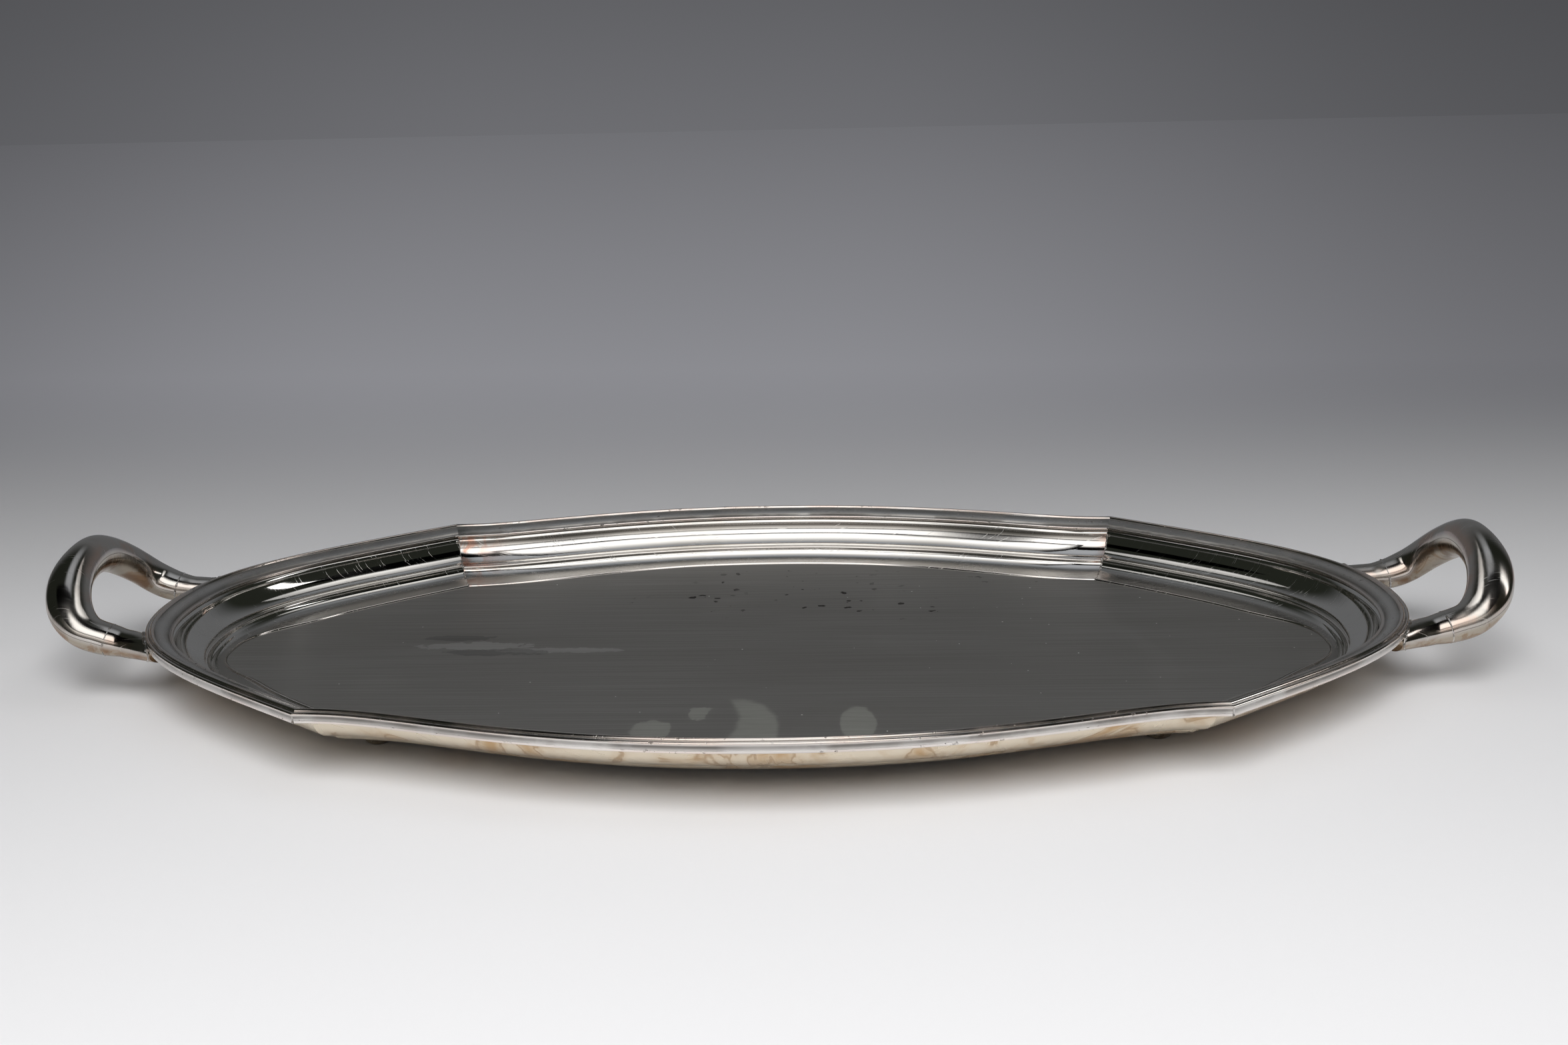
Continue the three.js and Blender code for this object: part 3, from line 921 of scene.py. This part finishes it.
def tube(name, line, radii, lumps, closed, sides=10):
    """A lumpy bead of solder along a line of points."""
    line = [np.array(p, float) for p in line]
    count = len(line)
    turns = np.radians(np.arange(sides) * 360 / sides)
    vertices = []
    for index, centre in enumerate(line):
        if closed:
            tangent = unit(line[(index + 1) % count] - line[index - 1])
        else:
            tangent = unit(line[min(index + 1, count - 1)] - line[max(index - 1, 0)])
        side = np.cross(tangent, (0, 0, 1))
        if np.linalg.norm(side) < 0.1:
            side = np.cross(tangent, (0, 1, 0))
        side = unit(side)
        other = np.cross(tangent, side)
        swell = 1 + lumps * noise.noise(Vector(centre * 0.45))
        for angle in turns:
            fine = noise.noise(Vector(centre * 1.1) + Vector((angle, 0, 0)))
            reach = radii[index] * swell * (1 + 0.3 * lumps * fine)
            vertices.append(centre + reach * (math.cos(angle) * side + math.sin(angle) * other))
    ring = [(math.cos(angle), math.sin(angle)) for angle in turns]
    faces = skin(count, ring, closed)
    return make_piece(name, vertices, faces, {}, SOLDER_METAL, crease=SOLDER_SHARP_ANGLE)


SOLDER_POINTS = 72
SOLDER_SINK = 0.985  # the share of the arm's section at which the root's solder runs


def make_root_solder(name, is_far, half_turn):
    """Solder where a cast arm meets the skirt of the rim."""
    line, radii = [], []
    for angle in np.linspace(0, 360, SOLDER_POINTS, endpoint=False):
        low, high = 0.0, ARM_END
        for _ in range(24):
            middle = (low + high) / 2
            x, y, z = handle_ring(middle if is_far else 1 - middle, [(angle, 0, 0, SOLDER_SINK)])[0]
            if inset_of(x, y) > -0.25:
                low = middle
            else:
                high = middle
        line.append((x, y, z))
        radii.append(0.75 if z > SKIRT_BOTTOM - 0.4 else 0.35)
    return tube(name, turned(line, half_turn), radii, 1.1, True)


def make_collar(name, is_far, half_turn):
    """Solder round the joint between a cast arm and the grip's shells."""
    t = ARM_END + 0.0002
    spots = [(angle, 0.28, 0, 1.0) for angle in np.linspace(0, 360, SOLDER_POINTS, endpoint=False)]
    line = handle_ring(t if is_far else 1 - t, spots)
    return tube(name, turned(line, half_turn), [0.42] * len(line), 1.3, True)


for half_turn, long_name, end_name in HALVES:
    far_name, near_name = ("front", "back") if half_turn else ("back", "front")
    handle = f"handle_{end_name}_"
    for is_far, arm_name in ((True, far_name), (False, near_name)):
        make_arm(handle + "arm_" + arm_name, is_far, half_turn)
        make_root_solder(handle + "root_solder_" + arm_name, is_far, half_turn)
        make_collar(handle + "collar_" + arm_name, is_far, half_turn)
    make_grip(handle + "grip_upper", True, half_turn)
    make_grip(handle + "grip_lower", False, half_turn)


# -------------------- solder at the corners


def wall_face_line():
    """Insets and heights down the visible face of the wall, from under the rim to the floor."""
    section = wall_section()
    face = [(inset, height) for inset, height, under, _, _ in section if under < 0.01 and inset > RIM_WIDTH]
    return sorted(face, key=lambda row: (row[0], -row[1]))


def make_corner_seam(name, sign_x, sign_y):
    """Solder down the inside of a corner, where two wall panels meet."""
    line, radii = [], []
    for inset, height in wall_face_line():
        x, y = inset_point(LONG, mitre_parameter(LONG, inset), inset)
        line.append((sign_x * x, sign_y * y, RIM_LINE + height))
        radii.append(0.34)
    return tube(name, line, radii, 1.8, False, 8)


def make_skirt_seam(name, sign_x, sign_y):
    """Solder up the outside of a corner of the rim."""
    line = []
    for height in np.linspace(-SKIRT_DROP, -1.0, 14):
        line.append((sign_x * (CUSP_X - 0.15), sign_y * (CUSP_Y - 0.2), RIM_LINE + height))
    return tube(name, line, [0.45] * len(line), 1.2, False, 8)


CORNERS = [("back_left", -1, 1), ("back_right", 1, 1), ("front_left", -1, -1), ("front_right", 1, -1)]
for corner_name, sign_x, sign_y in CORNERS:
    make_corner_seam("corner_seam_" + corner_name, sign_x, sign_y)
    make_skirt_seam("skirt_seam_" + corner_name, sign_x, sign_y)


# -------------------- feet


def make_foot(name):
    """A small bun foot with a neck, turned about its own axis."""
    low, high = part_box(name)
    centre = (low + high) / 2 / MM
    radius = (high.x - low.x) / 2 / MM
    height = FLOOR_UNDER
    profile = [(0, 0), (0.58, 0), (0.66, 0.02), (0.88, 0.14), (0.98, 0.30), (1.0, 0.44), (0.96, 0.60),
               (0.86, 0.73), (0.74, 0.82), (0.69, 0.88), (0.72, 0.95), (0.80, 1.0), (0, 1.0)]
    turns = 48
    vertices, faces = [], []
    for reach, level in profile[1:-1]:
        for angle in np.radians(np.arange(turns) * 360 / turns):
            x = centre.x + radius * reach * math.cos(angle)
            y = centre.y + radius * reach * math.sin(angle)
            vertices.append((x, y, height * level))
    rings = len(profile) - 2
    for ring in range(rings - 1):
        for index in range(turns):
            a, b = ring * turns + index, ring * turns + (index + 1) % turns
            faces.append((a, b, b + turns, a + turns))
    faces.append(tuple(reversed(range(turns))))
    faces.append(tuple(range((rings - 1) * turns, rings * turns)))
    return make_piece(name, vertices, faces, {}, FOOT_METAL, name)


for row in ("front", "back"):
    for end in ("left", "right"):
        make_foot(f"foot_{row}_{end}")


# -------------------- studio

KEY_STRENGTH = 7.7
KEY_IN_MIRRORS = 1.55  # the key's strength as the silver reflects it, so that it doesn't burn out
TABLE_CORNERS = [(-12, -12), (12, -12), (12, 12), (-12, 12)]
PAPER = rgb(0.80, 0.80, 0.82)
BACKDROP = rgb(0.02, 0.02, 0.022)
BACKDROP_GLOW = rgb(0.99, 0.995, 1.075)
LAMP_WHITE = rgb(1, 0.995, 0.985)
DARK_SIDES = rgb(0.016, 0.018, 0.014)
GREY_BEHIND = rgb(0.130, 0.134, 0.140)
GLOW_OVERHEAD = rgb(0.40, 0.42, 0.45)
FRONT_LOW = rgb(0.10, 0.09, 0.08)
FRONT_HIGH = rgb(1.2, 1.16, 1.10)
SEEN_LOW = rgb(0.169, 0.170, 0.183)
SEEN_HIGH = rgb(0.094, 0.095, 0.102)
BLACK = rgb(0, 0, 0)

# The camera's lens and place in metres, and its angles in radians.
CAMERA_LENS = 36.33
CAMERA_PLACE = (0.0335, -0.7397, 0.2732)
YAW, PITCH, ROLL = -0.0360, 0.2649, -0.0214


def table_material():
    """A pale sweep: white paper under the tray that turns into a dim grey backdrop behind it. The backdrop
    glows by emission, a painted light that dims with distance and towards the sides.
    """
    material, graph, shader = blank_material("table")
    parts = graph.node("ShaderNodeSeparateXYZ", Vector=graph.place())
    depth = graph.math("MAXIMUM", parts.outputs["Y"], 0.0)
    shader.inputs["Metallic"].default_value = 0.0
    shader.inputs["Roughness"].default_value = 0.9
    shader.inputs["Specular IOR Level"].default_value = 0.1
    graph.put(shader.inputs["Base Color"], graph.mix(graph.ramp(depth, 0.0, 0.85), PAPER, BACKDROP))
    # Painted light: the backdrop's own glow fades in behind the tray, dims with distance and falls off to
    # the sides.
    nearness = graph.math("DIVIDE", 1.0, graph.math("ADD", depth, 1.0))
    brightness = graph.math("ADD", graph.math("MULTIPLY", nearness, 0.213), 0.139)
    spread = graph.math("DIVIDE", parts.outputs["X"], graph.math("ADD", depth, 0.9))
    spread = graph.math("ABSOLUTE", graph.math("ADD", spread, 0.11))
    brightness = graph.math("MULTIPLY", brightness, graph.ramp(spread, 0.10, 0.60, 1.0, 0.60))
    brightness = graph.math("MULTIPLY", brightness, graph.ramp(depth, 0.1, 0.9))
    graph.put(shader.inputs["Emission Color"], BACKDROP_GLOW)
    graph.put(shader.inputs["Emission Strength"], brightness)
    return material


def level_rectangle(name, corners, height, material):
    """A level rectangle of the studio, with four (x, y) corners in metres."""
    mesh = bpy.data.meshes.new(name)
    mesh.from_pydata([(x, y, height) for x, y in corners], [], [(0, 1, 2, 3)])
    mesh.materials.append(material)
    made = new_object(name, mesh)
    return made


def softbox(name, centre, target, size, power):
    """A rectangular studio light that faces a point."""
    light = bpy.data.lights.new(name, "AREA")
    light.shape = "RECTANGLE"
    light.size, light.size_y = size
    light.energy = power
    lamp = new_object(name, light)
    lamp.location = centre
    lamp.rotation_euler = (Vector(target) - Vector(centre)).to_track_quat("-Z", "Y").to_euler()
    lamp.visible_camera = False


def make_world():
    """A dark studio: a grey backdrop behind, near black sides, and a front that brightens upwards."""
    world = bpy.data.worlds.new("studio")
    world.use_nodes = True
    bpy.context.scene.world = world
    graph = Graph(world.node_tree)
    direction = graph.node("ShaderNodeTexCoord").outputs["Generated"]
    parts = graph.node("ShaderNodeSeparateXYZ", Vector=direction)
    away, upward = parts.outputs["Y"], parts.outputs["Z"]
    aside = graph.math("ABSOLUTE", parts.outputs["X"])
    behind = graph.ramp(away, 0.40, 0.80)
    colour = graph.mix(behind, DARK_SIDES, GREY_BEHIND)
    overhead = graph.ramp(aside, 0.08, 0.26, 1.0, 0.0)
    overhead = graph.math("MULTIPLY", graph.ramp(upward, 0.74, 1.0), overhead)
    colour = graph.mix(overhead, colour, GLOW_OVERHEAD)
    front = graph.ramp(aside, 0.26, 0.50, 1.0, 0.25)
    front = graph.math("MULTIPLY", graph.ramp(away, -0.60, -0.85), front)
    glow = graph.mix(graph.ramp(upward, 0.05, 0.62), FRONT_LOW, FRONT_HIGH)
    colour = graph.mix(front, colour, glow)
    seen = graph.mix(graph.ramp(upward, -0.10, 0.16), SEEN_LOW, SEEN_HIGH)
    shaded = graph.math("ABSOLUTE", graph.math("ADD", parts.outputs["X"], 0.10))
    seen = graph.mix(graph.ramp(shaded, 0.08, 0.55, 0.0, 0.40), seen, BLACK)
    colour = graph.mix(graph.node("ShaderNodeLightPath").outputs["Is Camera Ray"], colour, seen)
    background = world.node_tree.nodes["Background"]
    graph.put(background.inputs["Color"], colour)
    background.inputs["Strength"].default_value = 1.0


def light_panel(name, half_x, near_y, far_y, height, strength):
    """A level glowing panel over the tray. A function builds its strength from the place on it."""
    material, graph, shader = blank_material(name)
    material.node_tree.nodes.remove(shader)
    parts = graph.node("ShaderNodeSeparateXYZ", Vector=graph.place())
    emission = graph.node("ShaderNodeEmission", Color=LAMP_WHITE)
    graph.put(emission.inputs["Strength"], strength(graph, parts.outputs["X"], parts.outputs["Y"]))
    graph.put(material.node_tree.nodes["Material Output"].inputs[0], emission.outputs[0])
    corners = [(-half_x, near_y), (-half_x, far_y), (half_x, far_y), (half_x, near_y)]
    panel = level_rectangle(name, corners, height, material)
    panel.visible_camera = False
    return panel


def key_strength(graph, across, depth):
    """The big diffuser in front: wider towards its near edge, and dimmer in mirrors than on the paper."""
    width = graph.math("ADD", graph.math("MULTIPLY", graph.math("MINIMUM", depth, 0.0), -0.50), 0.17)
    reach = graph.math("DIVIDE", graph.math("ABSOLUTE", across), width)
    glow = graph.math("MULTIPLY", graph.ramp(depth, -2.3, -1.4), graph.ramp(depth, -0.75, -0.30, 1.0, 0.0))
    mirrored = graph.node("ShaderNodeLightPath").outputs["Is Glossy Ray"]
    dimmed = graph.math("MULTIPLY", mirrored, KEY_IN_MIRRORS - KEY_STRENGTH)
    glow = graph.math("MULTIPLY", glow, graph.math("ADD", dimmed, KEY_STRENGTH))
    return graph.math("MULTIPLY", glow, graph.ramp(reach, 0.6, 1.0, 1.0, 0.0))


def strip_strength(graph, across, depth):
    """The low strip over the tray, which fades to its sides and towards the back."""
    near_edge = graph.ramp(depth, -0.30, -0.15)
    lit = graph.math("MULTIPLY", near_edge, graph.ramp(depth, -0.05, 0.34, 1.5, 0.45))
    sides = graph.ramp(graph.math("ABSOLUTE", across), 0.06, 0.12, 1.0, 0.0)
    return graph.math("MULTIPLY", lit, sides)


def make_camera():
    """The camera in front of the tray, a little to the right, looking slightly down."""
    data = bpy.data.cameras.new("camera")
    data.sensor_width = 36
    data.lens = CAMERA_LENS
    data.clip_start = 0.01
    camera = new_object("camera", data)
    ahead = Vector((math.sin(YAW) * math.cos(PITCH), math.cos(YAW) * math.cos(PITCH), -math.sin(PITCH)))
    level = Vector((math.cos(YAW), -math.sin(YAW), 0))
    above = level.cross(ahead)
    right = level * math.cos(ROLL) + above * math.sin(ROLL)
    up = above * math.cos(ROLL) - level * math.sin(ROLL)
    turn = Matrix((right, up, -ahead)).transposed().to_4x4()
    camera.matrix_world = Matrix.Translation(CAMERA_PLACE) @ turn
    bpy.context.scene.camera = camera


level_rectangle("table", TABLE_CORNERS, 0, table_material())
make_world()
make_camera()
light_panel("diffuser", half_x=1.3, near_y=-2.3, far_y=0.0, height=1.25, strength=key_strength)
strip_above = light_panel("strip_above", half_x=0.13, near_y=-0.31, far_y=0.34, height=0.62,
                          strength=strip_strength)
strip_above.visible_shadow = False  # the key shines through it
softbox("strip_right", centre=(1.25, -0.10, 0.80), target=(0, 0, 0.03), size=(0.22, 0.9), power=1.3)

bpy.context.scene.view_settings.view_transform = "Standard"
